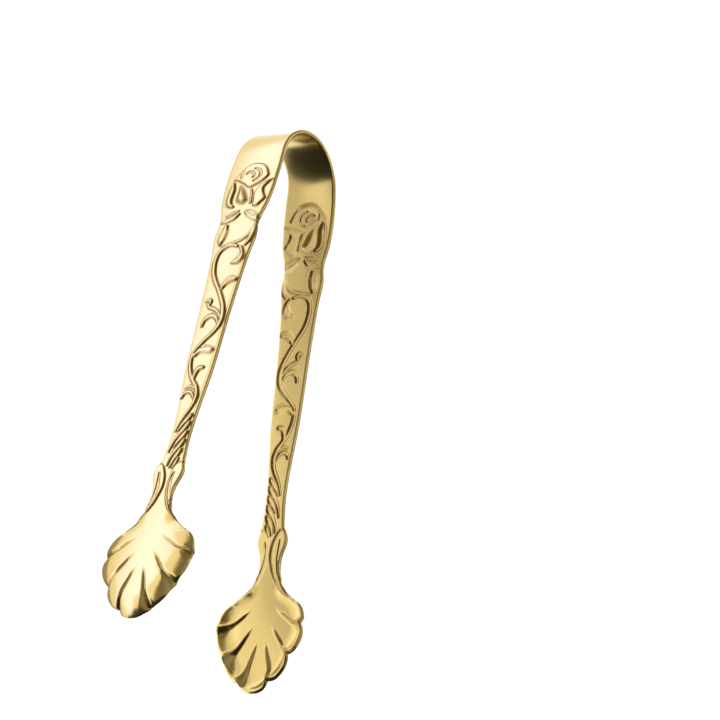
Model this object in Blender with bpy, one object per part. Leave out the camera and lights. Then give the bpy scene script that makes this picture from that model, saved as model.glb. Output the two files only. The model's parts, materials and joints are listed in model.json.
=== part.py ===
"""Mini ice tongs with scallop-shell jaws.

The tongs are one strip of spring steel, stamped to outline, bent into a bow at its middle
and plated gold. The bow is the spring: each half of it bends where a hinge stands here.
They lie on their side: +X runs from the bow to the jaws, +Y across the opening between the
arms and +Z along the strip's width. Turning the tongs half a turn about the long middle
line swaps the two arms, so both sides share their meshes.
"""
import math

import bmesh
import bpy
import numpy as np

# Driving dimensions, in metres and degrees
LENGTH = 0.1104                # bow to jaw tips, over everything
THICKNESS = 0.001              # of the strip
EDGE_ROUND = 0.0002            # on the strip's edges
BOW_RADIUS = 0.0089            # to the strip's middle surface
BOW_END_HEADING = 10.0         # from +X, where the round of the bow ends
HINGE_HEADING = 45.0           # the elastic middle of each half bow
JAW_HALF_WIDTH = 0.010475      # over the widest lobes
NECK_STATION = 0.091           # along the strip, where the arm ends and the jaw starts
GAP = 0.0003                   # between neighbouring solids

# The arm's heading from +X, in degrees, at stations along the strip
ARM_STATIONS = (0.020, 0.030, 0.060, 0.085, 0.100, 0.130)
ARM_HEADINGS = (7.5, 6.7, 5.0, 7.6, 8.6, 8.6)

# The strip's half width at stations along it: bow, rose, leaf notch, arm, collar, neck
BOW_HALF_WIDTH = 0.0055
OUTLINE_STATIONS = (0.008, 0.016, 0.024, 0.0285, 0.0315, 0.036, 0.044, 0.060,
                    0.080, 0.082, 0.0843, 0.088, 0.0895, 0.091)
OUTLINE_HALF_WIDTHS = (0.0055, 0.00605, 0.0057, 0.00475, 0.00505, 0.0045, 0.00395, 0.0034,
                       0.00245, 0.0027, 0.0035, 0.0026, 0.00243, 0.0025)

# The shell: its hub's distance from the bow's crown, and the radius from the hub to the
# notches between the lobes, with their angles from +X
HUB_DISTANCE = 0.0930
NOTCH_ANGLES = (13.0, 38.9, 70.0)
NOTCH_RADII = (0.01488, 0.01227, 0.01054)
SHOULDER_ANGLES = (98.5, 113.0, 133.0, 152.0)
SHOULDER_RADII = (0.0078, 0.0063, 0.00573, 0.00655)
LOBE_BULGES = (0.0017, 0.0008, 0.0007, 0.00065)   # tip, then the side lobes
TIP_DEPTH = 0.0019             # how far the rim stands in from the bowl's floor
SIDE_DEPTH = 0.0011
RIM_ROLL = 0.0042              # width of the band that rolls down to the rim
GROOVE_DEPTH = 0.0006
GROOVE_WIDTH = 0.0008

BOW_ROWS = 30
ARM_ROWS = 64
STRIP_COLUMNS = 4
JAW_RAYS = 96
JAW_RINGS = (0.3, 0.55, 0.72, 0.84, 0.93, 1.0)

CROWN_X = -LENGTH / 2 + THICKNESS / 2
HINGE_X = CROWN_X + BOW_RADIUS * (1 - math.sin(math.radians(HINGE_HEADING)))
HINGE_Y = BOW_RADIUS * math.cos(math.radians(HINGE_HEADING))
HINGE_STATION = BOW_RADIUS * math.radians(90 - HINGE_HEADING)


def heading(station):
    """The strip's angle from +X: it falls evenly round the bow, then follows the arm."""
    bow_end = BOW_RADIUS * math.radians(90 - BOW_END_HEADING)
    stations = (0.0, bow_end) + ARM_STATIONS
    angles = (90.0, BOW_END_HEADING) + ARM_HEADINGS
    return np.radians(np.interp(station, stations, angles))


def centreline(station):
    """Distance from the crown and from the middle line: the heading, summed along the strip."""
    step = 0.00005
    along = np.arange(0.0, 0.130, step)
    angle = heading(along + step / 2)
    x = np.concatenate([[0.0], np.cumsum(np.cos(angle)) * step])[:-1]
    y = np.concatenate([[0.0], np.cumsum(np.sin(angle)) * step])[:-1]
    return np.interp(station, along, x), np.interp(station, along, y)


def smooth_curve(value, stations, heights):
    """A curve through the given points whose slope at each is that of its neighbours' chord."""
    stations, heights = np.array(stations), np.array(heights)
    slopes = np.gradient(heights, stations)
    index = np.clip(np.searchsorted(stations, value) - 1, 0, len(stations) - 2)
    run = stations[index + 1] - stations[index]
    t = np.clip((value - stations[index]) / run, 0.0, 1.0)
    start, end = heights[index], heights[index + 1]
    return ((1 + 2 * t) * (1 - t) ** 2 * start + t ** 2 * (3 - 2 * t) * end
            + run * t * (1 - t) * ((1 - t) * slopes[index] - t * slopes[index + 1]))


def half_width(station):
    """Half the strip's width at a station on the arm."""
    return smooth_curve(station, OUTLINE_STATIONS, OUTLINE_HALF_WIDTHS)


def smoothstep(value, low, high):
    t = np.clip((value - low) / (high - low), 0.0, 1.0)
    return t * t * (3 - 2 * t)


def neck_corner():
    """The neck's end as seen from the shell's hub: its distance, and its corner's angle."""
    distance = HUB_DISTANCE - float(centreline(NECK_STATION + GAP / 2)[0])
    corner = math.degrees(math.atan2(OUTLINE_HALF_WIDTHS[-1], -distance))
    return distance, corner


def shell_radius(angle):
    """Hub to rim, for angles in degrees from +X: a curve through the notches and shoulder,
    with a round bulge over each lobe, and the straight end of the neck behind."""
    neck_distance, corner = neck_corner()
    turn = np.abs(angle)
    corner_radius = math.hypot(neck_distance, OUTLINE_HALF_WIDTHS[-1])
    base = smooth_curve(turn,
                        (-NOTCH_ANGLES[0],) + NOTCH_ANGLES + SHOULDER_ANGLES + (corner,),
                        (NOTCH_RADII[0],) + NOTCH_RADII + SHOULDER_RADII + (corner_radius,))
    edges = (-NOTCH_ANGLES[0],) + NOTCH_ANGLES + (SHOULDER_ANGLES[0],)
    for low, high, bulge in zip(edges[:-1], edges[1:], LOBE_BULGES):
        t = np.clip((turn - low) / (high - low), 0.0, 1.0)
        base = base + bulge * np.sqrt(np.sin(math.pi * t).clip(0.0, 1.0))
    neck_end = neck_distance / np.maximum(-np.cos(np.radians(turn)), 0.1)
    return np.where(turn > corner, neck_end, base)


def shell_height(x, z, angle, fraction):
    """How far the shell's middle surface stands from the tongs' middle line: the strip's
    own line, less a roll down to the rim, less a groove towards each notch."""
    line = np.linspace(0.08, 0.12, 200)
    line_x, line_y = centreline(line)
    floor = np.interp(x, line_x, line_y)
    radius = shell_radius(angle)
    inset = (1 - fraction) * radius
    front = 1 - smoothstep(np.abs(angle), 96.0, 130.0)
    depth = SIDE_DEPTH + (TIP_DEPTH - SIDE_DEPTH) * np.cos(np.radians(angle)) ** 2
    drop = depth * np.clip(1 - inset / RIM_ROLL, 0.0, 1.0) ** 2
    groove = np.zeros_like(x)
    for notch in NOTCH_ANGLES:
        across = fraction * radius * np.radians(np.abs(angle) - notch)
        groove += np.exp(-(across / GROOVE_WIDTH) ** 2)
    drop = drop + GROOVE_DEPTH * groove * smoothstep(fraction, 0.3, 0.9)
    return floor - front * drop


def plating(name):
    """Bright gold-coloured plating on steel."""
    material = bpy.data.materials.new(name)
    material.use_nodes = True
    shader = material.node_tree.nodes["Principled BSDF"]
    shader.inputs["Base Color"].default_value = (0.83, 0.66, 0.33, 1.0)
    shader.inputs["Metallic"].default_value = 1.0
    shader.inputs["Roughness"].default_value = 0.12
    return material


def sheet_object(name, mesh, parent=None):
    """An object for a middle surface, thickened both ways and rounded along its edges."""
    obj = bpy.data.objects.new(name, mesh)
    bpy.context.scene.collection.objects.link(obj)
    obj.parent = parent
    wall = obj.modifiers.new("Wall", "SOLIDIFY")
    wall.thickness = THICKNESS
    wall.offset = 0.0
    wall.use_even_offset = True
    edge = obj.modifiers.new("Edge", "BEVEL")
    edge.width = EDGE_ROUND
    edge.segments = 2
    edge.limit_method = "ANGLE"
    edge.angle_limit = math.radians(50)
    obj.data.materials.append(plating(name + "_plating"))
    return obj


def surface_mesh(name, rows, cap=None):
    """A mesh over rows of points, with a fan from one point to the first row if cap is given.

    The faces are turned so that their fronts look outwards, away from the middle line.
    """
    bm = bmesh.new()
    grid = [[bm.verts.new(point) for point in row] for row in rows]
    for low, high in zip(grid[:-1], grid[1:]):
        for i in range(len(low) - 1):
            bm.faces.new((low[i], low[i + 1], high[i + 1], high[i]))
        if cap is not None:
            bm.faces.new((low[-1], low[0], high[0], high[-1]))
    if cap is not None:
        centre = bm.verts.new(cap)
        first = grid[0]
        for i, vert in enumerate(first):
            bm.faces.new((centre, first[(i + 1) % len(first)], vert))
    bmesh.ops.recalc_face_normals(bm, faces=bm.faces)
    mesh = bpy.data.meshes.new(name)
    bm.to_mesh(mesh)
    bm.free()
    mesh.shade_smooth()
    mesh.set_sharp_from_angle(angle=math.radians(40))
    return mesh


def bow_mesh():
    """The middle quarter turn of the strip, at constant width, about the bow's crown."""
    reach = HINGE_STATION - GAP / 2
    rows = []
    for station in np.linspace(-reach, reach, BOW_ROWS + 1):
        turn = station / BOW_RADIUS
        x = CROWN_X + BOW_RADIUS * (1 - math.cos(turn))
        y = BOW_RADIUS * math.sin(turn)
        rows.append([(x, y, JAW_HALF_WIDTH + z)
                     for z in np.linspace(-BOW_HALF_WIDTH, BOW_HALF_WIDTH, STRIP_COLUMNS + 1)])
    return surface_mesh("spring_bow", rows)


def arm_mesh():
    """The +Y arm from its hinge to its neck, in the hinge's own axes."""
    rows = []
    for station in np.linspace(HINGE_STATION + GAP / 2, NECK_STATION - GAP / 2, ARM_ROWS + 1):
        x, y = centreline(station)
        half = float(half_width(station))
        rows.append([(CROWN_X + x - HINGE_X, y - HINGE_Y, z)
                     for z in np.linspace(-half, half, STRIP_COLUMNS + 1)])
    return surface_mesh("arm", rows)


def jaw_mesh():
    """The +Y shell jaw in the hinge's own axes: rings of points round the shell's hub."""
    corner = neck_corner()[1]
    front = np.linspace(-corner, corner, JAW_RAYS - 4)
    back = np.linspace(corner, 360 - corner, 6)[1:-1]
    angle = np.concatenate([front, back - 360 * (back > 180)])
    rows = []
    for fraction in JAW_RINGS:
        radius = fraction * shell_radius(angle)
        x = HUB_DISTANCE + radius * np.cos(np.radians(angle))
        z = radius * np.sin(np.radians(angle))
        y = shell_height(x, z, angle, fraction)
        rows.append(list(zip(CROWN_X + x - HINGE_X, y - HINGE_Y, z)))
    hub_y = float(shell_height(np.array([HUB_DISTANCE]), 0.0, np.array([0.0]), 0.0)[0])
    return surface_mesh("shell_jaw", rows, cap=(CROWN_X + HUB_DISTANCE - HINGE_X,
                                                hub_y - HINGE_Y, 0.0))


def build():
    for obj in list(bpy.data.objects):
        bpy.data.objects.remove(obj)
    sheet_object("spring_bow", bow_mesh())
    arm, jaw = arm_mesh(), jaw_mesh()
    for side, sign in (("left", 1), ("right", -1)):
        hinge = bpy.data.objects.new(side + "_hinge", None)
        bpy.context.scene.collection.objects.link(hinge)
        hinge.location = (HINGE_X, sign * HINGE_Y, JAW_HALF_WIDTH)
        hinge.rotation_euler = (0.0 if sign > 0 else math.pi, 0.0, 0.0)
        sheet_object(side + "_arm", arm.copy(), hinge)
        sheet_object(side + "_shell_jaw", jaw.copy(), hinge)


build()
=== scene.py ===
"""Ice tongs: one stamped, gold-plated steel strip bent into a spring bow.

A cross-section stands at each station along the strip's middle line. The stamped rose,
scrolls and leaves are a height above that strip, and the shells are polar sheets round a hub.
Lengths in this file are in millimetres and angles in degrees, unless a comment says metres.
The +Y side is computed, and the -Y side is the same turned half a turn about the long
middle line.
"""
import json
import math

import bpy
import numpy as np
from mathutils import Matrix, Vector


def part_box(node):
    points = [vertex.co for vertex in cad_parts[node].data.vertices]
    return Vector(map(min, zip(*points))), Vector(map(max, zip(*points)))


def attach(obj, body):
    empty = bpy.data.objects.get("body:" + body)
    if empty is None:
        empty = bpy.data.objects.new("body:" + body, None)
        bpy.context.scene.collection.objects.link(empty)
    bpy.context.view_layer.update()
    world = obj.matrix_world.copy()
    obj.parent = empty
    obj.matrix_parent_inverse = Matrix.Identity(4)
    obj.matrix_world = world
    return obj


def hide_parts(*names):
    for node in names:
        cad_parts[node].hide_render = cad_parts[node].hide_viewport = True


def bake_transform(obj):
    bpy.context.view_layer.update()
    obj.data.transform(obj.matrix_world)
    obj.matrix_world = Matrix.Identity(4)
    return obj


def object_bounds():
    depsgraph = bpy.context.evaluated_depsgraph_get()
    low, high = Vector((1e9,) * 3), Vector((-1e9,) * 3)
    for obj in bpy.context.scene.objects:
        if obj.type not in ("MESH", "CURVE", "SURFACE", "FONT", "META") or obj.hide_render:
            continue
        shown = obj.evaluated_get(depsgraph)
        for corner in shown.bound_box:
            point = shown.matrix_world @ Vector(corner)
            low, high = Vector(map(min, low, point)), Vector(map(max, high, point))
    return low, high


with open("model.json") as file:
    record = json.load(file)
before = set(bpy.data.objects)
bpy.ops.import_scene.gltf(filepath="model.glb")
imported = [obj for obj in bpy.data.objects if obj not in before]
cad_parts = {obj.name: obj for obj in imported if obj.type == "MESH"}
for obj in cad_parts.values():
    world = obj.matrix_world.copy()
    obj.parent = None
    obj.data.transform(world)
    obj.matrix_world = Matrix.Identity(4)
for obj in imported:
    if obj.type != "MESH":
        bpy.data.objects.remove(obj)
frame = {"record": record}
cad_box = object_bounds()

METRE = 1000.0                  # millimetres in a metre

# The strip
THICKNESS = 1.0
EDGE_ROUND = 0.38               # radius along the strip's edges
BOW_RADIUS = 8.9                # to the strip's middle surface
BOW_END_HEADING = 10.0          # from +X, where the round of the bow ends
ARM_STATIONS = (20.0, 30.0, 60.0, 85.0, 100.0, 130.0)
ARM_HEADINGS = (7.5, 6.7, 5.0, 7.6, 8.6, 8.6)
OUTLINE_STATIONS = (0.0, 8.0, 16.0, 24.0, 28.5, 31.5, 36.0, 44.0, 60.0,
                    80.0, 82.0, 84.3, 88.0, 89.5, 91.0)
OUTLINE_HALF_WIDTHS = (5.5, 5.5, 6.05, 5.7, 4.75, 5.05, 4.5, 3.95, 3.4,
                       2.45, 2.7, 3.5, 2.6, 2.43, 2.5)
BOW_END_STATION = 13.0          # where the plain bow piece meets the stamped arm
NECK_STATION = 91.0             # where the arm meets the shell

# The shell, from its hub: radii at the notches between lobes and along the shoulder
HUB_DISTANCE = 93.0             # from the bow's crown
NOTCH_ANGLES = (13.0, 38.9, 70.0)
NOTCH_RADII = (14.88, 12.27, 10.54)
SHOULDER_ANGLES = (98.5, 113.0, 133.0, 152.0)
SHOULDER_RADII = (7.8, 6.3, 5.73, 6.55)
LOBE_BULGES = (1.7, 0.8, 0.7, 0.65)   # tip, then the side lobes
TIP_DEPTH = 1.9                 # how far the rim stands in from the bowl's floor
SIDE_DEPTH = 1.2
RIM_ROLL = 4.2                  # width of the band that rolls down to the rim
ROLL_SHARE = 0.42               # and the most of the way to the hub that it may take
ROLL_FADES = (122.0, 160.0)     # angles from the tip over which the roll dies out at the neck
COLLAR_FADES = (96.0, 99.0)     # stations over which the collar leaves' relief dies out
SHELL_STATIONS = (85.0, 125.0)  # stations that the shell's middle line lies between
LEAST_FACING = 0.35             # keeps the rounded rim's steps short where the rim is oblique

# Mesh steps
LINE_STEP = 0.02                # along the middle line, where its heading is summed
ARM_STEP = 0.15                 # between rows along the arm
FACE_COLUMNS = 68
RIM_STEPS = (0.0, 0.134, 0.5, 1.0)    # across the rounded edge, in edge radii
CROWN_ROWS = 64                 # along each half of the bow
SHELL_RAYS = 430
SHELL_RINGS = 78

crown_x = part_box("spring_bow")[0][0] * METRE + THICKNESS / 2
middle_z = frame["record"]["behaviour"]["joints"][0]["pos_m"][2] * METRE


# ---------------------------------------------------------------- the strip's own lines

def heading(station):
    """The strip's angle from +X: it falls evenly round the bow, then follows the arm."""
    bow_end = BOW_RADIUS * math.radians(90 - BOW_END_HEADING)
    stations = (0.0, bow_end) + ARM_STATIONS
    angles = (90.0, BOW_END_HEADING) + ARM_HEADINGS
    return np.radians(np.interp(station, stations, angles))


def centreline(station):
    """Distance from the crown and from the middle line: the heading summed along the strip."""
    step = LINE_STEP
    along = np.arange(0.0, ARM_STATIONS[-1], step)
    angle = heading(along + step / 2)
    x = np.concatenate([[0.0], np.cumsum(np.cos(angle)) * step])[:-1]
    y = np.concatenate([[0.0], np.cumsum(np.sin(angle)) * step])[:-1]
    return np.interp(station, along, x), np.interp(station, along, y)


def smooth_curve(value, stations, heights):
    """Cubics joined through the given points, with the slope at each from its neighbours."""
    stations, heights = np.array(stations), np.array(heights)
    slopes = np.gradient(heights, stations)
    index = np.clip(np.searchsorted(stations, value) - 1, 0, len(stations) - 2)
    run = stations[index + 1] - stations[index]
    t = np.clip((value - stations[index]) / run, 0.0, 1.0)
    start, end = heights[index], heights[index + 1]
    return ((1 + 2 * t) * (1 - t) ** 2 * start + t ** 2 * (3 - 2 * t) * end
            + run * t * (1 - t) * ((1 - t) * slopes[index] - t * slopes[index + 1]))


def half_width(station):
    """Half the strip's width at a station."""
    return smooth_curve(station, OUTLINE_STATIONS, OUTLINE_HALF_WIDTHS)


def smoothstep(value, low, high):
    """0 below low, 1 above high, and 3t^2 - 2t^3 between them."""
    t = np.clip((value - low) / (high - low), 0.0, 1.0)
    return t * t * (3 - 2 * t)


def wall_half(edge_distance):
    """Half the wall's thickness at a distance from its edge: a quarter circle at the edge."""
    inside = np.clip(edge_distance, 0.0, EDGE_ROUND)
    arc = np.sqrt(np.clip(EDGE_ROUND ** 2 - (EDGE_ROUND - inside) ** 2, 0.0, None))
    return THICKNESS / 2 - EDGE_ROUND + arc


# ---------------------------------------------------------------- the stamped relief
# Points are (across, along): across the strip from its middle, and along it from the crown.
# Heights and depths are before RELIEF_SCALE.

RIDGE = 0.42                    # usual height of a stem or leaf above the ground

# Ridges: height, half widths along the line, points
RIDGES = (
    # rose: left petal, strip beside the bud
    (0.50, (0.35, 0.75, 0.75, 0.7, 0.3), ((-3.9, 19.6), (-3.75, 21), (-3.85, 22.5), (-3.8, 23.8),
                                          (-3.3, 24.7), (-2.5, 25.1))),
    (0.34, (0.2, 0.38, 0.35), ((0.9, 21.3), (1.3, 22.3), (1.5, 23.5), (1.6, 24.5))),
    # sepals and the leaves under the rose
    (0.36, (0.2, 0.42, 0.2), ((-0.6, 26.2), (-2, 26.7), (-3.4, 27.2))),
    (0.42, (0.25, 0.65, 0.65, 0.25), ((-0.3, 27), (-1.5, 27.8), (-3, 28.4), (-4.2, 28.7))),
    (0.42, (0.25, 0.95, 0.95, 0.3), ((1, 26.5), (2.5, 27.3), (3.8, 28.2), (4.7, 29))),
    (0.44, (0.45, 1.0, 0.9, 0.2), ((-2.6, 29.6), (-2.8, 31.5), (-3, 34))),
    (0.34, (0.22, 0.38, 0.38, 0.3), ((-2.5, 34.2), (0, 33.7), (2, 33.2), (3.5, 32), (4.3, 30.3),
                                     (4.5, 29.5))),
    (0.42, (0.4, 0.75, 0.6, 0.3), ((4.7, 29.6), (4.5, 31.5), (4, 33.5), (3.4, 34.5))),
    # the long S-shaped stem
    (RIDGE, (0.35, 0.5, 0.55, 0.5, 0.55, 0.6, 0.5, 0.45, 0.5, 0.5, 0.45, 0.3),
     ((1.6, 34.6), (0.2, 34.2), (-1.3, 34.6), (-2.4, 35.7), (-2.75, 37.3), (-2.6, 39),
      (-2.1, 40.7), (-1.2, 42.3), (-0.2, 43.7), (0.8, 45.2), (1.7, 46.7), (2.5, 48.3), (3.0, 50),
      (3.0, 51.5), (2.5, 53), (1.5, 54.3), (0.3, 55.5), (-0.6, 56.6), (-1.4, 57.8), (-1.8, 59.2),
      (-1.7, 60.8), (-1.2, 62.4), (-0.5, 63.8), (0.4, 65), (1.3, 66.2), (1.8, 67.7), (1.7, 69.3),
      (1.2, 70.7), (0.4, 72.2), (-0.3, 73.8), (-0.8, 75.5))),
    # hook leaf at its start, and the branch leaf
    (0.46, (0.35, 0.6, 0.85, 0.8, 0.4), ((2.6, 34.9), (3.1, 36), (3.2, 37.2), (2.7, 38),
                                         (1.6, 38.3))),
    (0.44, (0.4, 0.7, 0.85, 0.5), ((0.9, 44), (1.4, 43), (2.4, 42.2), (3.5, 42.2))),
    # sprigs on the left
    (0.40, (0.3, 0.45, 0.4, 0.3), ((-2, 46.7), (-1.2, 46.5), (-0.8, 47), (-1.1, 47.9))),
    (0.40, (0.3, 0.45, 0.42, 0.35), ((-1.5, 47.3), (-0.7, 48.2), (0.5, 48.7), (1.6, 49.4),
                                     (2.6, 50.6))),
    (0.42, (0.35, 0.6, 0.55, 0.35), ((-1.4, 52.3), (-1.2, 51.2), (-0.3, 50.3), (0.8, 50.2),
                                     (1.8, 50.9), (2.4, 52))),
    # leaf and hooks along the lower stem
    (0.46, (0.4, 0.7, 0.95, 0.85), ((-1.3, 58.9), (-0.4, 57.9), (0.8, 57.6), (2.2, 57.9))),
    (0.42, (0.35, 0.5, 0.65, 0.4), ((0, 64.3), (0.1, 63), (0.6, 61.9), (1.6, 61.7))),
    (0.40, (0.3, 0.45, 0.42, 0.35), ((-1.7, 68.2), (-1.3, 67.3), (-0.4, 66.9), (0.5, 67.3),
                                     (1.2, 68.3))),
    (0.36, (0.25, 0.35, 0.3), ((-1.3, 66.1), (-0.3, 65.7), (0.8, 66.2))),
    # six slanted leaves above the collar
    (0.44, (0.45, 0.62, 0.5, 0.3), ((1.9, 72.3), (1.3, 73.1), (0.5, 74.2), (-0.2, 75.6))),
    (0.44, (0.45, 0.62, 0.5, 0.35, 0.2), ((1.95, 74), (1.3, 75), (0.4, 76.3), (-0.5, 78),
                                          (-1.1, 80.2))),
    (0.44, (0.45, 0.62, 0.5, 0.3), ((1.9, 76), (1.3, 76.9), (0.6, 77.9), (0, 79.1))),
    (0.44, (0.45, 0.62, 0.5, 0.35, 0.2), ((1.9, 77.9), (1.3, 78.9), (0.4, 80.2), (-0.4, 81.7),
                                          (-0.8, 83.2))),
    (0.44, (0.4, 0.6, 0.5, 0.3), ((1.8, 79.9), (1.2, 80.9), (0.5, 82.1), (0, 83.6))),
    (0.40, (0.3, 0.45, 0.3), ((1.6, 81.8), (1.2, 82.8), (0.7, 83.8))),
)

# Pads: height, width of the wall round the pad, points round its outline
PADS = (
    # rose head, bud, right petal
    (0.42, 0.7, ((-4.2, 18.8), (-2.5, 16.3), (-1, 15.2), (1, 15.1), (3, 16), (4.3, 18),
                 (4.2, 18.8), (3, 19.9), (1, 20.9), (0, 21), (-1.5, 20), (-3, 19.2))),
    (0.72, 1.9, ((-2.4, 20), (-1.5, 20), (-0.5, 21), (0.3, 22.3), (0.9, 23.5), (1, 24),
                 (0.3, 24.8), (-0.5, 25.1), (-1.5, 24.7), (-2.3, 24), (-2.5, 23), (-2.4, 21.5))),
    (0.48, 0.8, ((3.4, 20), (5.8, 19.2), (5, 20.3), (4.2, 21.3), (4.4, 22.3), (5, 23.3),
                 (5.2, 24), (4.4, 24.9), (3.5, 25.7), (2.3, 25.5), (2.1, 24.5), (1.9, 22))),
    # the two collar leaves, on into the shell's shoulders
    (0.40, 0.75, ((-1.5, 82.9), (-0.9, 84), (-0.3, 85.5), (-0.05, 87), (-0.1, 88.5), (-0.5, 90),
                  (-1, 91.5), (-2.3, 93.6), (-4, 95.2), (-6.3, 96.6), (-6.6, 95.6), (-5.5, 92),
                  (-4.5, 88), (-5, 84.5), (-3.6, 82.9), (-2.3, 82.5))),
    (0.40, 0.75, ((1.9, 82.6), (1, 83.5), (0.6, 84.8), (0.45, 86.5), (0.45, 88.5), (0.8, 90),
                  (1.3, 91.5), (2.5, 93.5), (4.1, 95.1), (6.3, 96.6), (6.6, 95.6), (5.5, 92),
                  (4.5, 88), (5, 84.5), (3.6, 82.7), (2.6, 82.4))),
)

# Grooves: depth, half widths, points
GROOVES = (
    # folds in the rose head
    (0.20, (0.25, 0.3, 0.25), ((-2.3, 16.5), (-2.4, 17.5), (-2.3, 18.5))),
    (0.26, (0.2, 0.34, 0.34, 0.25), ((0.5, 16.5), (1.7, 17), (2.3, 18), (2, 18.8), (1, 19.5))),
    (0.26, (0.2, 0.3, 0.3, 0.2), ((-1.3, 17.6), (-0.5, 17.2), (0.3, 17.5), (0.8, 18.2),
                                  (0.5, 18.6))),
    # veins of the leaves
    (0.18, (0.15, 0.25, 0.15), ((1.8, 26.7), (2.8, 27.3), (3.6, 27.9))),
    (0.20, (0.15, 0.3, 0.15), ((-3.3, 30.2), (-3.3, 31), (-3.3, 31.8))),
    (0.20, (0.15, 0.28, 0.2), ((2.5, 35.5), (2.85, 36.3), (2.8, 37.2))),
    (0.20, (0.15, 0.25, 0.15), ((0.9, 43), (1.6, 42.4), (2.5, 42), (3.6, 42))),
    (0.20, (0.15, 0.25, 0.15), ((-1.3, 58.2), (-0.5, 57.3), (0.3, 57.05), (1.2, 57.1))),
    # the fold down each collar leaf
    (0.24, (0.2, 0.4, 0.4, 0.3, 0.2), ((-2, 84.8), (-1.7, 86.5), (-1.5, 88), (-1.6, 89.5),
                                       (-2, 91.3), (-3.1, 93.3), (-4.4, 94.7))),
    (0.24, (0.2, 0.4, 0.4, 0.3, 0.2), ((1.6, 85), (1.3, 86.5), (1.4, 88), (1.7, 89.5),
                                       (2.3, 91.3), (3.3, 93.3), (4.6, 94.7))),
)

# The lines above were laid out on a strip whose middle wanders a little: how far, by station
WANDER_STATIONS = (30.0, 40.0, 50.0, 60.0, 70.0, 80.0, 84.0)
WANDER = (0.0, 0.2, 0.45, 0.4, 0.35, 0.35, 0.0)

RELIEF_SCALE = 0.75             # of the heights above, on the outer face
INNER_RELIEF = 0.95             # of that, where it presses through to the inner face
OUTER_BACK = (0.15, 1.45)       # where a ridge's back starts and stops falling, in half widths
INNER_BACK = (0.1, 1.6)
OUTER_WALL = (-0.1, 0.75)       # where a pad's wall starts, and where it ends in wall widths
INNER_WALL = (-0.35, 0.9)
RIDGE_REACH = 1.5               # how far from its line a ridge is worked out, in half widths
FAR_AWAY = 9.0                  # stands for a distance or ratio past every form's reach

INNER_VALLEY = 0.35             # how much further a valley's ridge stands out inside the bowl
VALLEY_FLOOR = 0.10             # radius that rounds the bottom of a valley
VALLEY_SPREAD = 1.25            # a valley's reach to each side, in half widths
VALLEY_MARGIN = 2.5             # how far round its line a valley is worked out
VALLEY_SINKS = (0.04, 0.35)     # valley drops where the painted shade starts, and where it is fullest
VALLEY_PAINTED_SHADE = 0.5             # painted shade at the bottoms of the shell's valleys
CREASE_SLOPES = (0.12, 0.62)    # slopes where the painted shade on the relief's walls starts, and where it is full
CREASE_GAP = 0.05               # half the step over which a slope is measured

BORDER_INSET = 0.45             # fine line inside both edges of the arm
BORDER_DEPTH = 0.07
BORDER_HALF_WIDTH = 0.14
BORDER_STARTS = (36.0, 42.0)    # stations where the line fades in, and where it fades out
BORDER_ENDS = (80.5, 82.0)

# Valleys between the shell's lobes: half widths, depths, points as (across, from the crown)
VALLEYS = (
    ((0.3, 0.42, 0.52, 0.65, 1.6), (0.0, 0.3, 0.42, 0.5, 0.65),
     ((3.1, 92.85), (5.6, 94.7), (7.6, 95.8), (10.4, 96.6))),
    ((0.3, 0.42, 0.52, 0.65, 1.6), (0.0, 0.3, 0.42, 0.5, 0.65),
     ((2.4, 96.3), (4.0, 98.6), (5.6, 100.6), (8.2, 103.2))),
    ((0.3, 0.4, 0.5, 0.6, 1.5), (0.0, 0.3, 0.42, 0.5, 0.65),
     ((1.0, 99.5), (1.7, 101.8), (2.4, 104), (3.7, 108.2))),
)


def smooth_line(points, closed=False, step=0.07):
    """Catmull-Rom through the points: on each span the cubic whose end slopes are half the
    chord between the neighbours. Sampled about every step. Returns places and 0..1 along."""
    points = np.array(points, float)
    if closed:
        ring = np.concatenate([points[-1:], points, points[:2]])
    else:
        ring = np.concatenate([[2 * points[0] - points[1]], points,
                               [2 * points[-1] - points[-2]]])
    length = np.hypot(*np.diff(points, axis=0).T).sum()
    spans = len(ring) - 3
    count = max(8, int(length / step / spans) + 1)
    t = np.linspace(0.0, 1.0, count, endpoint=False)[None, :, None]
    a, b, c, d = (ring[k:k + spans, None, :] for k in range(4))
    places = 0.5 * (2 * b + (c - a) * t + (2 * a - 5 * b + 4 * c - d) * t ** 2
                    + (3 * b - a - 3 * c + d) * t ** 3)
    places = places.reshape(-1, 2)
    if not closed:
        places = np.concatenate([places, points[-1:]])
    run = np.concatenate([[0.0], np.cumsum(np.hypot(*np.diff(places, axis=0).T))])
    return places, run / run[-1]


def nearest_ratio(across, along, points, widths):
    """Distance to a line divided by the line's half width there, least over the line."""
    places, share = smooth_line(points)
    half = np.interp(share, np.linspace(0.0, 1.0, len(widths)), widths)
    reach = RIDGE_REACH * half.max()
    low, high = places.min(0) - reach, places.max(0) + reach
    near = ((across > low[0]) & (across < high[0]) & (along > low[1]) & (along < high[1]))
    ratio = np.full(across.shape, FAR_AWAY)
    gap = np.hypot(across[near][:, None] - places[:, 0], along[near][:, None] - places[:, 1])
    if near.any():
        ratio[near] = (gap / half).min(1)
    return ratio


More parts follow.
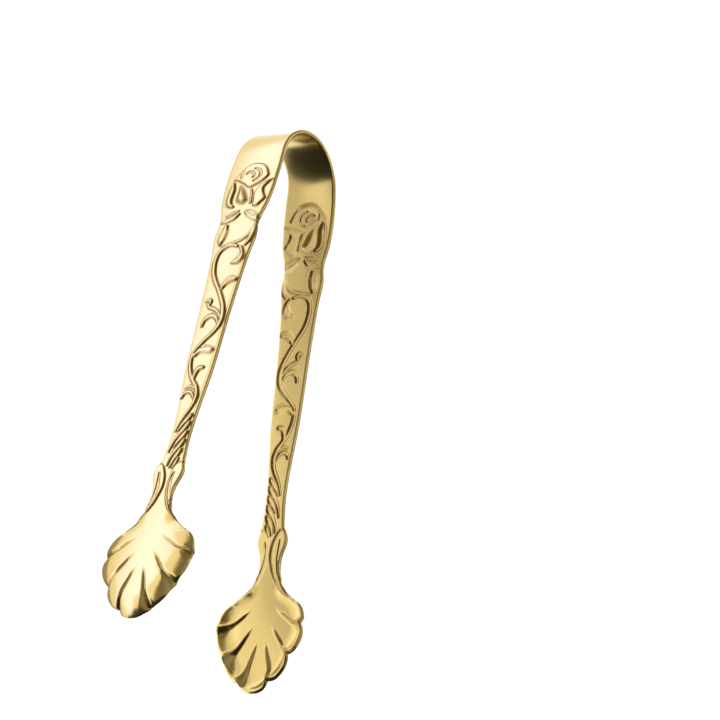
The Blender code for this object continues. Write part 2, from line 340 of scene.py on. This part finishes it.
def outline_depth(across, along, points):
    """Distance inside a closed outline, negative outside it: even-odd rule for the sign."""
    places, _ = smooth_line(points, closed=True)
    low, high = places.min(0) - 1.0, places.max(0) + 1.0
    near = ((across > low[0]) & (across < high[0]) & (along > low[1]) & (along < high[1]))
    depth = np.full(across.shape, -FAR_AWAY)
    if not near.any():
        return depth
    q, s = across[near][:, None], along[near][:, None]
    gap = np.hypot(q - places[:, 0], s - places[:, 1]).min(1)
    following = np.roll(places, -1, axis=0)
    straddles = (places[:, 1] > s) != (following[:, 1] > s)
    rise = following[:, 1] - places[:, 1]
    rise = np.where(np.abs(rise) < 1e-9, 1e-9, rise)
    crossing = places[:, 0] + (s - places[:, 1]) / rise * (following[:, 0] - places[:, 0])
    inside = (straddles & (q < crossing)).sum(1) % 2 == 1
    depth[near] = np.where(inside, gap, -gap)
    return depth


def round_back(ratio, soft):
    """Profile across a ridge, a smoothstep down from its middle: steeper on the outer face,
    wider and gentler on the inner face behind it."""
    return 1 - smoothstep(ratio, *(INNER_BACK if soft else OUTER_BACK))


def relief(across, along, soft=False):
    """Height of the stamping above the strip: the highest of the ridges and pads, less the
    grooves. soft gives the same form as it shows pressed through on the inner face."""
    shape = across.shape
    along = along.ravel()
    across = across.ravel() + np.interp(along, WANDER_STATIONS, WANDER)
    height = np.zeros(along.shape)
    for rise, widths, points in RIDGES:
        ratio = nearest_ratio(across, along, points, widths)
        height = np.maximum(height, rise * round_back(ratio, soft))
    for rise, wall, points in PADS:
        foot, top = INNER_WALL if soft else OUTER_WALL
        step = smoothstep(outline_depth(across, along, points), foot, top * wall)
        height = np.maximum(height, rise * step)
    for drop, widths, points in GROOVES:
        ratio = nearest_ratio(across, along, points, widths)
        height = height - drop * round_back(ratio, True)
    height = RELIEF_SCALE * height.reshape(shape)
    return INNER_RELIEF * height if soft else height


def steep_wall_shade(across, along, soft=False):
    """Painted shade: 0 on level ground to 1 on the relief's steep walls: its slope by central
    differences.
    """
    gap = CREASE_GAP
    ends = [relief(across + a, along + b, soft) for a, b in
            ((gap, 0.0), (-gap, 0.0), (0.0, gap), (0.0, -gap))]
    slope = np.hypot(ends[0] - ends[1], ends[2] - ends[3]) / (2 * gap)
    return smoothstep(slope, *CREASE_SLOPES)


def border_line(across, along):
    """A fine line sunk just inside both edges of the plain part of the arm."""
    inset = half_width(along) - np.abs(across)
    present = smoothstep(along, *BORDER_STARTS) * (1 - smoothstep(along, *BORDER_ENDS))
    return -BORDER_DEPTH * present * np.exp(-((inset - BORDER_INSET) / BORDER_HALF_WIDTH) ** 2)


# ---------------------------------------------------------------- meshes

def across_columns(half):
    """Across-strip places at each row: edge steps from both edges, and even ones between."""
    rim = EDGE_ROUND * np.array(RIM_STEPS)
    inner = (half[:, None] - EDGE_ROUND) * np.linspace(-1.0, 1.0, FACE_COLUMNS)[None, 1:-1]
    left = -half[:, None] + rim[None, :]
    right = half[:, None] - rim[None, ::-1]
    return np.concatenate([left, inner, right], axis=1)


def strip_sheets(stations, stamped):
    """Outer and inner faces of the strip: the middle line, plus across the width, plus or
    minus half the wall along the line's own normal, plus the relief along it. Returns both
    faces, and the painted shade on each of them, dark on the relief's steep walls."""
    x, y = centreline(stations)
    angle = heading(stations)
    across = across_columns(half_width(stations))
    along = np.broadcast_to(stations[:, None], across.shape)
    wall = wall_half(half_width(along) - np.abs(across))
    outer_rise, inner_rise = wall, -wall
    painted_shade = [np.zeros(across.shape)] * 2
    if stamped:
        painted_shade = [steep_wall_shade(across, along), steep_wall_shade(across, along, soft=True)]
        outer_rise = wall + relief(across, along) + border_line(across, along)
        inner_rise = relief(across, along, soft=True) - wall
    sheets = []
    for rise in (outer_rise, inner_rise):
        sheets.append(np.stack([x[:, None] - np.sin(angle)[:, None] * rise,
                                y[:, None] + np.cos(angle)[:, None] * rise,
                                -across], axis=-1))
    return sheets, painted_shade


# The neck's end as seen from the hub: its distance, and its corners' angle and distance
neck_distance = HUB_DISTANCE - float(centreline(NECK_STATION)[0])
corner_angle = math.degrees(math.atan2(OUTLINE_HALF_WIDTHS[-1], -neck_distance))
corner_radius = math.hypot(neck_distance, OUTLINE_HALF_WIDTHS[-1])


def shell_radius(angle):
    """Hub to rim: a curve through the notches and shoulder, a bulge of root-sine shape over
    each lobe, and the straight end of the neck behind."""
    turn = np.abs(angle)
    base = smooth_curve(turn,
                        (-NOTCH_ANGLES[0],) + NOTCH_ANGLES + SHOULDER_ANGLES + (corner_angle,),
                        (NOTCH_RADII[0],) + NOTCH_RADII + SHOULDER_RADII + (corner_radius,))
    edges = (-NOTCH_ANGLES[0],) + NOTCH_ANGLES + (SHOULDER_ANGLES[0],)
    for low, high, bulge in zip(edges[:-1], edges[1:], LOBE_BULGES):
        t = np.clip((turn - low) / (high - low), 0.0, 1.0)
        base = base + bulge * np.sqrt(np.sin(math.pi * t).clip(0.0, 1.0))
    neck_end = neck_distance / np.maximum(-np.cos(np.radians(turn)), 0.1)
    return np.where(turn > corner_angle, neck_end, base)


def shell_angles():
    """Ray angles: evenly spaced along the rim from one neck corner round to the other, then
    through the arm's own last columns across the neck."""
    fine = np.linspace(-corner_angle, corner_angle, 6001)
    radius = shell_radius(fine)
    rim = np.stack([radius * np.cos(np.radians(fine)), radius * np.sin(np.radians(fine))])
    run = np.concatenate([[0.0], np.cumsum(np.hypot(*np.diff(rim, axis=1)))])
    front = np.interp(np.linspace(0.0, run[-1], SHELL_RAYS), run, fine)
    columns = across_columns(half_width(np.array([NECK_STATION])))[0][::-1][1:-1]
    back = np.degrees(np.arctan2(columns, -neck_distance)) % 360
    return np.concatenate([front, back])


def shell_sheets():
    """Outer and inner faces of the shell, a polar grid: the strip's own line, less a square
    curve down to the rim, less a valley between lobes, thickened along the rolled normal.
    Returns both faces, the painted shade on each, and which rays are on the neck."""
    angle = shell_angles()
    signed = np.where(angle > 180, angle - 360, angle)
    turn = np.abs(signed)
    radius = shell_radius(signed)
    slope = np.gradient(shell_radius(signed), np.radians(signed))
    on_neck = turn >= corner_angle
    facing = np.clip(radius / np.hypot(radius, slope), LEAST_FACING, 1.0)
    facing = np.where(on_neck, 1.0, facing)
    rim = EDGE_ROUND * np.array(RIM_STEPS)[::-1]
    rim_fraction = 1 - rim[:, None] / (radius * facing)[None, :]
    inner_share = (np.arange(1, SHELL_RINGS) / SHELL_RINGS)[:, None]
    fraction = np.concatenate([inner_share * rim_fraction[:1], rim_fraction])
    reach = fraction * radius
    x = HUB_DISTANCE + reach * np.cos(np.radians(signed))
    across = reach * np.sin(np.radians(signed))
    hub = [np.full((1, len(angle)), HUB_DISTANCE), np.zeros((1, len(angle)))]
    x = np.concatenate([hub[0], x])
    across = np.concatenate([hub[1], across])
    fraction = np.concatenate([np.zeros((1, len(angle))), fraction])
    inset = (1 - fraction) * radius

    line = np.linspace(*SHELL_STATIONS, 400)
    line_x, line_y = centreline(line)
    station = np.interp(x, line_x, line)
    floor = np.interp(x, line_x, line_y)
    front = 1 - smoothstep(turn, *ROLL_FADES)
    depth = SIDE_DEPTH + (TIP_DEPTH - SIDE_DEPTH) * np.cos(np.radians(signed)) ** 2
    width = np.minimum(RIM_ROLL, ROLL_SHARE * radius)
    roll = np.clip(1 - inset / width, 0.0, 1.0)
    drop = front * depth * width / RIM_ROLL * roll ** 2
    tilt = front * 2 * depth / RIM_ROLL * roll
    valleys = np.zeros(x.shape)
    for widths, depths, points in VALLEYS:
        valleys = valleys + valley(np.abs(across), x, points, widths, depths)
    drop = drop + valleys

    lean = heading(station)
    out_x = -np.sin(lean) + tilt * np.cos(np.radians(signed))
    out_y = np.cos(lean)
    out_z = tilt * np.sin(np.radians(signed))
    size = np.sqrt(out_x ** 2 + out_y ** 2 + out_z ** 2)
    side_gap = np.where(on_neck, half_width(np.minimum(station, NECK_STATION)) - np.abs(across),
                        inset * facing)
    wall = wall_half(side_gap)
    fade = 1 - smoothstep(station, *COLLAR_FADES)
    outer_rise = wall + fade * relief(across, station)
    inner_rise = fade * relief(across, station, soft=True) - wall
    # painted shade: dark along the bottoms of the valleys, and on the relief's steep walls
    deep = VALLEY_PAINTED_SHADE * smoothstep(valleys, *VALLEY_SINKS)
    painted_shade = [np.maximum(fade * steep_wall_shade(across, station), deep),
              np.maximum(fade * steep_wall_shade(across, station, soft=True), deep)]
    sheets = []
    for rise, pressed in ((outer_rise, drop), (inner_rise, drop + INNER_VALLEY * valleys)):
        sheets.append(np.stack([x + out_x / size * rise,
                                floor - pressed + out_y / size * rise,
                                -(across + out_z / size * rise)], axis=-1))
    return sheets, painted_shade, on_neck | (turn > corner_angle - 1e-6)


def valley(across, x, points, widths, depths):
    """Drop of one valley: depth (1 - d/w)^2 across it, so that the lobes beside it puff up
    and its bottom is narrow, with d the distance to its line and w its reach to each side."""
    places, share = smooth_line(points)
    even = np.linspace(0.0, 1.0, len(widths))
    half = np.interp(share, even, widths)
    deep = np.interp(share, even, depths)
    flat_across, flat_x = across.ravel(), x.ravel()
    near = ((flat_x > places[:, 1].min() - VALLEY_MARGIN)
            & (flat_across < places[:, 0].max() + VALLEY_MARGIN))
    gap = np.hypot(flat_across[near][:, None] - places[:, 0],
                   flat_x[near][:, None] - places[:, 1])
    gap = np.hypot(gap, VALLEY_FLOOR) - VALLEY_FLOOR
    sink = (deep * np.clip(1 - gap / (VALLEY_SPREAD * half), 0.0, 1.0) ** 2).max(1)
    drop = np.zeros(flat_x.shape)
    drop[near] = sink
    return drop.reshape(x.shape)


def quads(rows, columns, wrap, start=0):
    """Corner numbers of the quads of a grid of rows by columns, numbered row by row."""
    last = columns if wrap else columns - 1
    i, j = np.meshgrid(np.arange(rows - 1), np.arange(last), indexing="ij")
    k = (j + 1) % columns
    corners = np.stack([i * columns + j, i * columns + k, (i + 1) * columns + k,
                        (i + 1) * columns + j], axis=-1)
    return corners.reshape(-1, 4) + start


def boundary(rows, columns):
    """Corner numbers round the edge of a grid, in order."""
    top = np.arange(columns)
    right = np.arange(1, rows) * columns + columns - 1
    bottom = (rows - 1) * columns + np.arange(columns - 2, -1, -1)
    left = np.arange(rows - 2, 0, -1) * columns
    return np.concatenate([top, right, bottom, left])


def side_point(points, sign):
    """Places in metres: the +Y side as computed, or that side turned half a turn about X."""
    placed = points.reshape(-1, 3) * (1.0, sign, sign)
    return (placed + (crown_x, 0.0, middle_z)) / METRE


def piece(name, places, faces, sharp_vertices, painted_shade, material):
    """An object at the origin from places and faces, turned to face outwards, smooth except
    along edges between two vertices of the same numbered sharp group. The fifth argument is
    the painted shade at each vertex, and goes into the mesh for the finish to read."""
    mesh = bpy.data.meshes.new(name)
    corners = np.concatenate([np.ravel(f) for f in faces])
    sizes = np.concatenate([np.full(len(f), f.shape[1]) for f in faces])
    starts = np.concatenate([[0], np.cumsum(sizes)[:-1]])
    fan = np.concatenate([f[:, [0, k, k + 1]] for f in faces for k in range(1, f.shape[1] - 1)])
    volume = np.einsum("ij,ij->i", places[fan[:, 0]],
                       np.cross(places[fan[:, 1]], places[fan[:, 2]])).sum()
    if volume < 0:
        corners = np.concatenate([np.ravel(f[:, ::-1]) for f in faces])
    mesh.vertices.add(len(places))
    mesh.vertices.foreach_set("co", places.ravel())
    mesh.loops.add(len(corners))
    mesh.loops.foreach_set("vertex_index", corners.astype(np.int32))
    mesh.polygons.add(len(sizes))
    mesh.polygons.foreach_set("loop_start", starts.astype(np.int32))
    mesh.update(calc_edges=True)
    mesh.validate()
    mesh.shade_smooth()
    ends = np.empty(2 * len(mesh.edges), np.int32)
    mesh.edges.foreach_get("vertices", ends)
    group = sharp_vertices[ends.reshape(-1, 2)]
    sharp = (group[:, 0] == group[:, 1]) & (group[:, 0] > 0)
    attribute = mesh.attributes.new("sharp_edge", "BOOLEAN", "EDGE")
    attribute.data.foreach_set("value", sharp)
    # painted shade at each vertex, which the gold material darkens by
    attribute = mesh.attributes.new("painted_crease_shade", "FLOAT", "POINT")
    attribute.data.foreach_set("value", painted_shade.astype(np.float32))
    mesh.materials.append(material)
    obj = bpy.data.objects.new(name, mesh)
    bpy.context.scene.collection.objects.link(obj)
    return obj


def strip_piece(name, strip, sign, material):
    """A closed solid from the strip's two faces, joined along its edges and its two ends."""
    (outer, inner), painted_shade = strip
    rows, columns = outer.shape[:2]
    count = rows * columns
    face = quads(rows, columns, wrap=False)
    edge = boundary(rows, columns)
    following = np.roll(edge, -1)
    rim = np.stack([edge, edge + count, following + count, following], axis=-1)
    places = side_point(np.concatenate([outer.reshape(-1, 3), inner.reshape(-1, 3)]), sign)
    ends = np.zeros(2 * count, np.int32)
    for half in (0, count):
        ends[half:half + columns] = 1
        ends[half + count - columns:half + count] = 2
    painted_shade = np.concatenate([np.ravel(m) for m in painted_shade])
    return piece(name, places, [face, face[:, ::-1] + count, rim], ends, painted_shade, material)


def shell_piece(name, shell, sign, material):
    """A closed solid from the shell's two faces, each a polar grid with one pole."""
    sheets, painted_shade, on_neck = shell
    outer = sheets[0]
    rings, rays = outer.shape[0] - 1, outer.shape[1]
    count = 1 + rings * rays
    flat = [np.concatenate([sheet[0, :1], sheet[1:].reshape(-1, 3)]) for sheet in sheets]
    face = quads(rings, rays, wrap=True, start=1)
    ray = np.arange(rays)
    tip = np.stack([np.zeros(rays, int), 1 + (ray + 1) % rays, 1 + ray], axis=-1)
    last = 1 + (rings - 1) * rays + ray
    following = np.roll(last, -1)
    rim = np.stack([last, following, following + count, last + count], axis=-1)
    places = side_point(np.concatenate(flat), sign)
    ends = np.zeros(2 * count, np.int32)
    for half in (0, count):
        ends[half + last[on_neck]] = 1
    faces = [face, face[:, ::-1] + count, tip, tip[:, ::-1] + count, rim]
    painted_shade = np.concatenate([np.concatenate([m[0, :1], np.ravel(m[1:])]) for m in painted_shade])
    return piece(name, places, faces, ends, painted_shade, material)


# ---------------------------------------------------------------- finish

def linear(hex_colour):
    """An sRGB hex colour such as D8B46A as linear red, green, blue and alpha."""
    parts = [int(hex_colour[k:k + 2], 16) / 255 for k in (0, 2, 4)]
    return tuple(c / 12.92 if c <= 0.04045 else ((c + 0.055) / 1.055) ** 2.4
                 for c in parts) + (1.0,)


def add_node(tree, kind, settings=None, inputs=None, links=None):
    """A node of that kind: properties set by name, sockets by name or number, and links
    given as socket: (node, its output)."""
    node = tree.nodes.new(kind)
    for key, value in (settings or {}).items():
        setattr(node, key, value)
    for key, value in (inputs or {}).items():
        node.inputs[key].default_value = value
    for key, (source, output) in (links or {}).items():
        tree.links.new(source.outputs[output], node.inputs[key])
    return node


GOLD_LIGHT = "DAC280"
GOLD_DEEP = "D2B870"
# painted shade: darker, browner gold for the relief's steep walls and the valleys
GOLD_PAINTED_SHADE = "86622A"
PAINTED_SHADE_SHARE = 0.85             # how much of the painted shade colour the steepest walls take
TONE_SIZE = 11.1                # across one drift of tone and polish
RIPPLE_SIZE = 2.22              # across one ripple of the die


def gold_plating():
    """Gold plating over polished stamped steel: a warm, slightly satin mirror, whose tone and
    polish drift a little, with a faint ripple left by the stamping die, and painted shade:
    darker, browner gold painted on the relief's steep walls and in the shell's valleys."""
    material = bpy.data.materials.new("gold_plating")
    material.use_nodes = True
    tree = material.node_tree
    tree.nodes.clear()
    place = add_node(tree, "ShaderNodeTexCoord")
    tone = add_node(tree, "ShaderNodeTexNoise",
                    inputs={"Scale": METRE / TONE_SIZE, "Detail": 3.0},
                    links={"Vector": (place, "Object")})
    colour = add_node(tree, "ShaderNodeMix", {"data_type": "RGBA"},
                      links={"Factor": (tone, "Fac")})
    colour.inputs[6].default_value = linear(GOLD_LIGHT)
    colour.inputs[7].default_value = linear(GOLD_DEEP)
    # the painted shade on the mesh mixes the gold towards the shade colour
    painted_shade = add_node(tree, "ShaderNodeAttribute", {"attribute_name": "painted_crease_shade"})
    shaded_gold = add_node(tree, "ShaderNodeMix", {"data_type": "RGBA"}, {7: linear(GOLD_PAINTED_SHADE)},
                    {6: (colour, 2)})
    share = add_node(tree, "ShaderNodeMath", {"operation": "MULTIPLY"}, {1: PAINTED_SHADE_SHARE},
                     {0: (painted_shade, "Fac")})
    tree.links.new(share.outputs[0], shaded_gold.inputs[0])
    haze = add_node(tree, "ShaderNodeMapRange",
                    inputs={"From Min": 0.3, "From Max": 0.7, "To Min": 0.20, "To Max": 0.26},
                    links={"Value": (tone, "Fac")})
    ripple = add_node(tree, "ShaderNodeTexNoise",
                      inputs={"Scale": METRE / RIPPLE_SIZE, "Detail": 2.0},
                      links={"Vector": (place, "Object")})
    bump = add_node(tree, "ShaderNodeBump", inputs={"Strength": 0.06, "Distance": 0.0002},
                    links={"Height": (ripple, "Fac")})
    shader = add_node(tree, "ShaderNodeBsdfPrincipled", inputs={"Metallic": 1.0},
                      links={"Base Color": (shaded_gold, 2), "Roughness": (haze, 0),
                             "Normal": (bump, 0)})
    add_node(tree, "ShaderNodeOutputMaterial", links={"Surface": (shader, 0)})
    return material


def floor_paint():
    """A pale table, white all over with an even glow, and painted light: cooler, brighter bands
    of glow over a smooth hump of a slanted coordinate, slant * x - y."""
    material = bpy.data.materials.new("opal_table")
    material.use_nodes = True
    tree = material.node_tree
    shader = tree.nodes["Principled BSDF"]
    place = add_node(tree, "ShaderNodeTexCoord")
    axes = add_node(tree, "ShaderNodeSeparateXYZ", links={0: (place, "Object")})
    from_middle = add_node(tree, "ShaderNodeMath", {"operation": "ABSOLUTE"},
                           links={0: (axes, "X")})
    ends = add_node(tree, "ShaderNodeMapRange", {"interpolation_type": "SMOOTHSTEP"},
                    {"From Min": PAINTED_GLOW_ENDS[0] / METRE, "From Max": PAINTED_GLOW_ENDS[1] / METRE,
                     "To Min": 1.0, "To Max": 0.0}, {"Value": (from_middle, 0)})
    glow = None
    # each band is painted light, a glow in the table's own emission
    for slant, rise, fall, lamp in PAINTED_GLOW_BANDS:
        away = add_node(tree, "ShaderNodeVectorMath", {"operation": "DOT_PRODUCT"},
                        {1: (slant * METRE, -METRE, 0.0)}, {0: (place, "Object")})
        near = add_node(tree, "ShaderNodeMapRange", {"interpolation_type": "SMOOTHSTEP"},
                        {"From Min": rise[0], "From Max": rise[1]}, {"Value": (away, "Value")})
        far = add_node(tree, "ShaderNodeMapRange", {"interpolation_type": "SMOOTHSTEP"},
                       {"From Min": fall[0], "From Max": fall[1],
                        "To Min": 1.0, "To Max": 0.0}, {"Value": (away, "Value")})
        share = add_node(tree, "ShaderNodeMath", {"operation": "MULTIPLY"},
                         links={0: (near, 0), 1: (far, 0)})
        share = add_node(tree, "ShaderNodeMath", {"operation": "MULTIPLY"},
                         links={0: (share, 0), 1: (ends, 0)})
        below = {6: (glow, 2)} if glow else {}
        glow = add_node(tree, "ShaderNodeMix", {"data_type": "RGBA"},
                        {6: (FLOOR_GLOW, FLOOR_GLOW, FLOOR_GLOW, 1.0), 7: lamp + (1.0,)},
                        {0: (share, 0), **below})
    tree.links.new(glow.outputs[2], shader.inputs["Emission Color"])
    shader.inputs["Emission Strength"].default_value = 1.0
    shader.inputs["Base Color"].default_value = linear(TABLE_COLOUR)
    shader.inputs["Roughness"].default_value = 0.9
    shader.inputs["Specular IOR Level"].default_value = 0.0
    return material


# ---------------------------------------------------------------- floor, lights and camera

TABLE_COLOUR = "D0D0D0"
TABLE_HALF = 4.0                # metres
BACKDROP_COLOUR = "F0EFED"
BACKDROP_RADIUS = 3.9           # metres
BACKDROP_FOOT = -0.5            # metres
BACKDROP_HEAD = 4.0             # metres

FLOOR_GLOW = 0.62
# Painted light: cool, brighter bands in the table's own glow, so that the gold looks cream
# where it reflects them: the slant, where the slanted coordinate brightens the glow, where it
# fades it, and the glow
PAINTED_GLOW_BANDS = (
    (-0.12, (17.5, 26.0), (27.5, 46.0), (1.08, 1.33, 3.0)),      # beyond the right arm
    (0.105, (-17.0, -15.0), (-9.5, -7.0), (1.05, 1.1, 1.35)),    # along the inside of the left
)
PAINTED_GLOW_ENDS = (80.0, 120.0)      # where the painted glow bands fade out, from the object's middle along X
WORLD_LOW = (0.20, 0.17, 0.13, 1.0)     # the dim room, near the table's level
WORLD_HIGH = (0.42, 0.41, 0.40, 1.0)    # and overhead

CAMERA_PLACE = (358.55, -692.84, 588.04)
CAMERA_RIGHT = (-0.16825, 0.55792, 0.81266)
CAMERA_UP = (-0.90991, -0.40500, 0.08966)
CAMERA_BACK = (0.37915, -0.72436, 0.57580)
LENS = 250.0
SENSOR = 36.0

# Cards: name, colour and corners; the painted face has its corners running anticlockwise
FLAGS = (
    ("bow_flag", "1A1814", ((-45.5, -7.6, 0.3), (-45.5, -7.6, 26.0), (-45.5, 8.1, 26.0),
                            (-45.5, 8.1, 0.3))),
    ("tip_flag", "1A1814", ((64.0, -45.0, 0.3), (64.0, -45.0, 40.0), (64.0, 45.0, 40.0),
                            (64.0, 45.0, 0.3))),
    ("arm_mat", "1A1814", ((-46.0, -9.4, 0.3), (34.0, -17.8, 0.3), (34.0, -12.8, 0.3),
                           (-46.0, -4.4, 0.3))),
    ("jaw_mat", "B4B0A8", ((35.0, -20.2, 0.3), (58.0, -21.0, 0.3), (58.0, -14.0, 0.3),
                           (35.0, -13.0, 0.3))),
)

# Lamps: name, place, size, power in watts, whether reflections show it
LIGHTS = (
    ("camera_lamp", (340.0, -655.0, 556.0), 100.0, 9.0, False),
    ("top_softbox", (-150.0, 350.0, 700.0), 300.0, 0.3, True),
    ("back_softbox", (-420.0, 500.0, 260.0), 300.0, 0.3, True),
)


def add_floor():
    """A flat square at the level of the object's lowest point."""
    half = TABLE_HALF
    level = float(cad_box[0][2])
    corners = [(-half, -half, level), (half, -half, level), (half, half, level),
               (-half, half, level)]
    mesh = bpy.data.meshes.new("floor")
    mesh.from_pydata(corners, [], [(0, 1, 2, 3)])
    mesh.materials.append(floor_paint())
    floor = bpy.data.objects.new("floor", mesh)
    bpy.context.scene.collection.objects.link(floor)


def add_backdrop():
    """A pale round wall just inside the table's edges, which only the camera sees."""
    paint = bpy.data.materials.new("pale_backdrop")
    paint.use_nodes = True
    shader = paint.node_tree.nodes["Principled BSDF"]
    shader.inputs["Base Color"].default_value = linear("000000")
    shader.inputs["Emission Color"].default_value = linear(BACKDROP_COLOUR)
    shader.inputs["Emission Strength"].default_value = 1.0
    around = np.radians(np.arange(0.0, 360.0, 5.0))
    ring = np.stack([BACKDROP_RADIUS * np.cos(around), BACKDROP_RADIUS * np.sin(around)], axis=1)
    foot = np.column_stack([ring, np.full(len(ring), BACKDROP_FOOT)])
    head = np.column_stack([ring, np.full(len(ring), BACKDROP_HEAD)])
    mesh = bpy.data.meshes.new("backdrop")
    wall = quads(2, len(ring), wrap=True)[:, ::-1]
    mesh.from_pydata(np.concatenate([foot, head]).tolist(), [], wall.tolist())
    mesh.materials.append(paint)
    backdrop = bpy.data.objects.new("backdrop", mesh)
    backdrop.visible_diffuse = False
    backdrop.visible_glossy = False
    backdrop.visible_shadow = False
    bpy.context.scene.collection.objects.link(backdrop)


def card_paint(name, colour):
    """Matt card, painted on the face that looks at the object and clear from behind."""
    paint = bpy.data.materials.new(name)
    paint.use_nodes = True
    tree = paint.node_tree
    shader = tree.nodes["Principled BSDF"]
    shader.inputs["Base Color"].default_value = linear(colour)
    shader.inputs["Roughness"].default_value = 0.9
    side = add_node(tree, "ShaderNodeNewGeometry")
    clear = add_node(tree, "ShaderNodeBsdfTransparent")
    mixed = add_node(tree, "ShaderNodeMixShader",
                     links={0: (side, "Backfacing"), 1: (shader, 0), 2: (clear, 0)})
    tree.links.new(mixed.outputs[0], tree.nodes["Material Output"].inputs[0])
    return paint


def add_flags():
    """Cards that only the metal sees: reflected in it, they darken the inside of the bow, the
    tips of the shells and the lower walls of the relief."""
    for name, colour, corners in FLAGS:
        paint = card_paint(name + "_card", colour)
        mesh = bpy.data.meshes.new(name)
        mesh.from_pydata([tuple(c / METRE for c in corner) for corner in corners], [],
                         [(0, 1, 2, 3)])
        mesh.materials.append(paint)
        flag = bpy.data.objects.new(name, mesh)
        flag.visible_camera = False
        flag.visible_diffuse = False
        flag.visible_shadow = False
        bpy.context.scene.collection.objects.link(flag)


def add_lights():
    """Square softboxes that look at the object, and a dim room, warmer low down."""
    for name, place, size, power, seen in LIGHTS:
        data = bpy.data.lights.new(name, "AREA")
        data.shape = "SQUARE"
        data.size = size / METRE
        data.energy = power
        lamp = bpy.data.objects.new(name, data)
        lamp.location = Vector(place) / METRE
        lamp.rotation_euler = Vector(place).to_track_quat("Z", "Y").to_euler()
        lamp.visible_glossy = seen
        bpy.context.scene.collection.objects.link(lamp)
    world = bpy.data.worlds.new("studio")
    world.use_nodes = True
    tree = world.node_tree
    shade = tree.nodes["Background"]
    direction = add_node(tree, "ShaderNodeTexCoord")
    height = add_node(tree, "ShaderNodeSeparateXYZ", links={0: (direction, "Generated")})
    climb = add_node(tree, "ShaderNodeMapRange", {"interpolation_type": "SMOOTHSTEP"},
                     {"From Min": 0.1, "From Max": 0.9}, {"Value": (height, "Z")})
    tint = add_node(tree, "ShaderNodeMix", {"data_type": "RGBA"},
                    {6: WORLD_LOW, 7: WORLD_HIGH}, {0: (climb, 0)})
    tree.links.new(tint.outputs[2], shade.inputs["Color"])
    bpy.context.scene.world = world


def add_camera():
    """The camera, from its place and its own right, up and back directions."""
    data = bpy.data.cameras.new("camera")
    data.lens = LENS
    data.sensor_width = SENSOR
    data.clip_start = 0.01
    data.clip_end = 100.0
    camera = bpy.data.objects.new("camera", data)
    turn = Matrix((CAMERA_RIGHT, CAMERA_UP, CAMERA_BACK)).transposed().to_4x4()
    place = [c / METRE for c in CAMERA_PLACE]
    camera.matrix_world = Matrix.Translation(place) @ turn
    bpy.context.scene.collection.objects.link(camera)
    bpy.context.scene.camera = camera


# ---------------------------------------------------------------- the tongs

def crown_rows():
    """Stations of the bow's rows: even, and closer together at both of the piece's ends."""
    close = np.array([0.0, 0.03, 0.08, 0.16])
    even = np.linspace(0.3, BOW_END_STATION - 0.3, CROWN_ROWS)
    return np.concatenate([close, even, BOW_END_STATION - np.array([0.15, 0.05, 0.0])])


def arm_rows():
    """Stations of the arm's rows, even from the bow to the neck."""
    count = int((NECK_STATION - BOW_END_STATION) / ARM_STEP)
    return np.linspace(BOW_END_STATION, NECK_STATION, count + 1)


def build_tongs():
    """Two half bows baked in place, and two stamped arms and two shells on the bodies that carry
    them.
    """
    plating = gold_plating()
    bow = strip_sheets(crown_rows(), stamped=False)
    arm = strip_sheets(arm_rows(), stamped=True)
    shell = shell_sheets()
    for side, sign in (("left", 1.0), ("right", -1.0)):
        body = side + "_side"
        half = strip_piece(side + "_half_bow", bow, sign, plating)
        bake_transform(half)
        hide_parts("spring_bow")
        stamped_arm = strip_piece(side + "_stamped_arm", arm, sign, plating)
        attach(stamped_arm, body)
        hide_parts(side + "_arm")
        jaw = shell_piece(side + "_scallop_shell", shell, sign, plating)
        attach(jaw, body)
        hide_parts(side + "_shell_jaw")


bpy.context.scene.view_settings.view_transform = "Standard"
add_camera()
add_floor()
add_backdrop()
add_flags()
add_lights()
build_tongs()
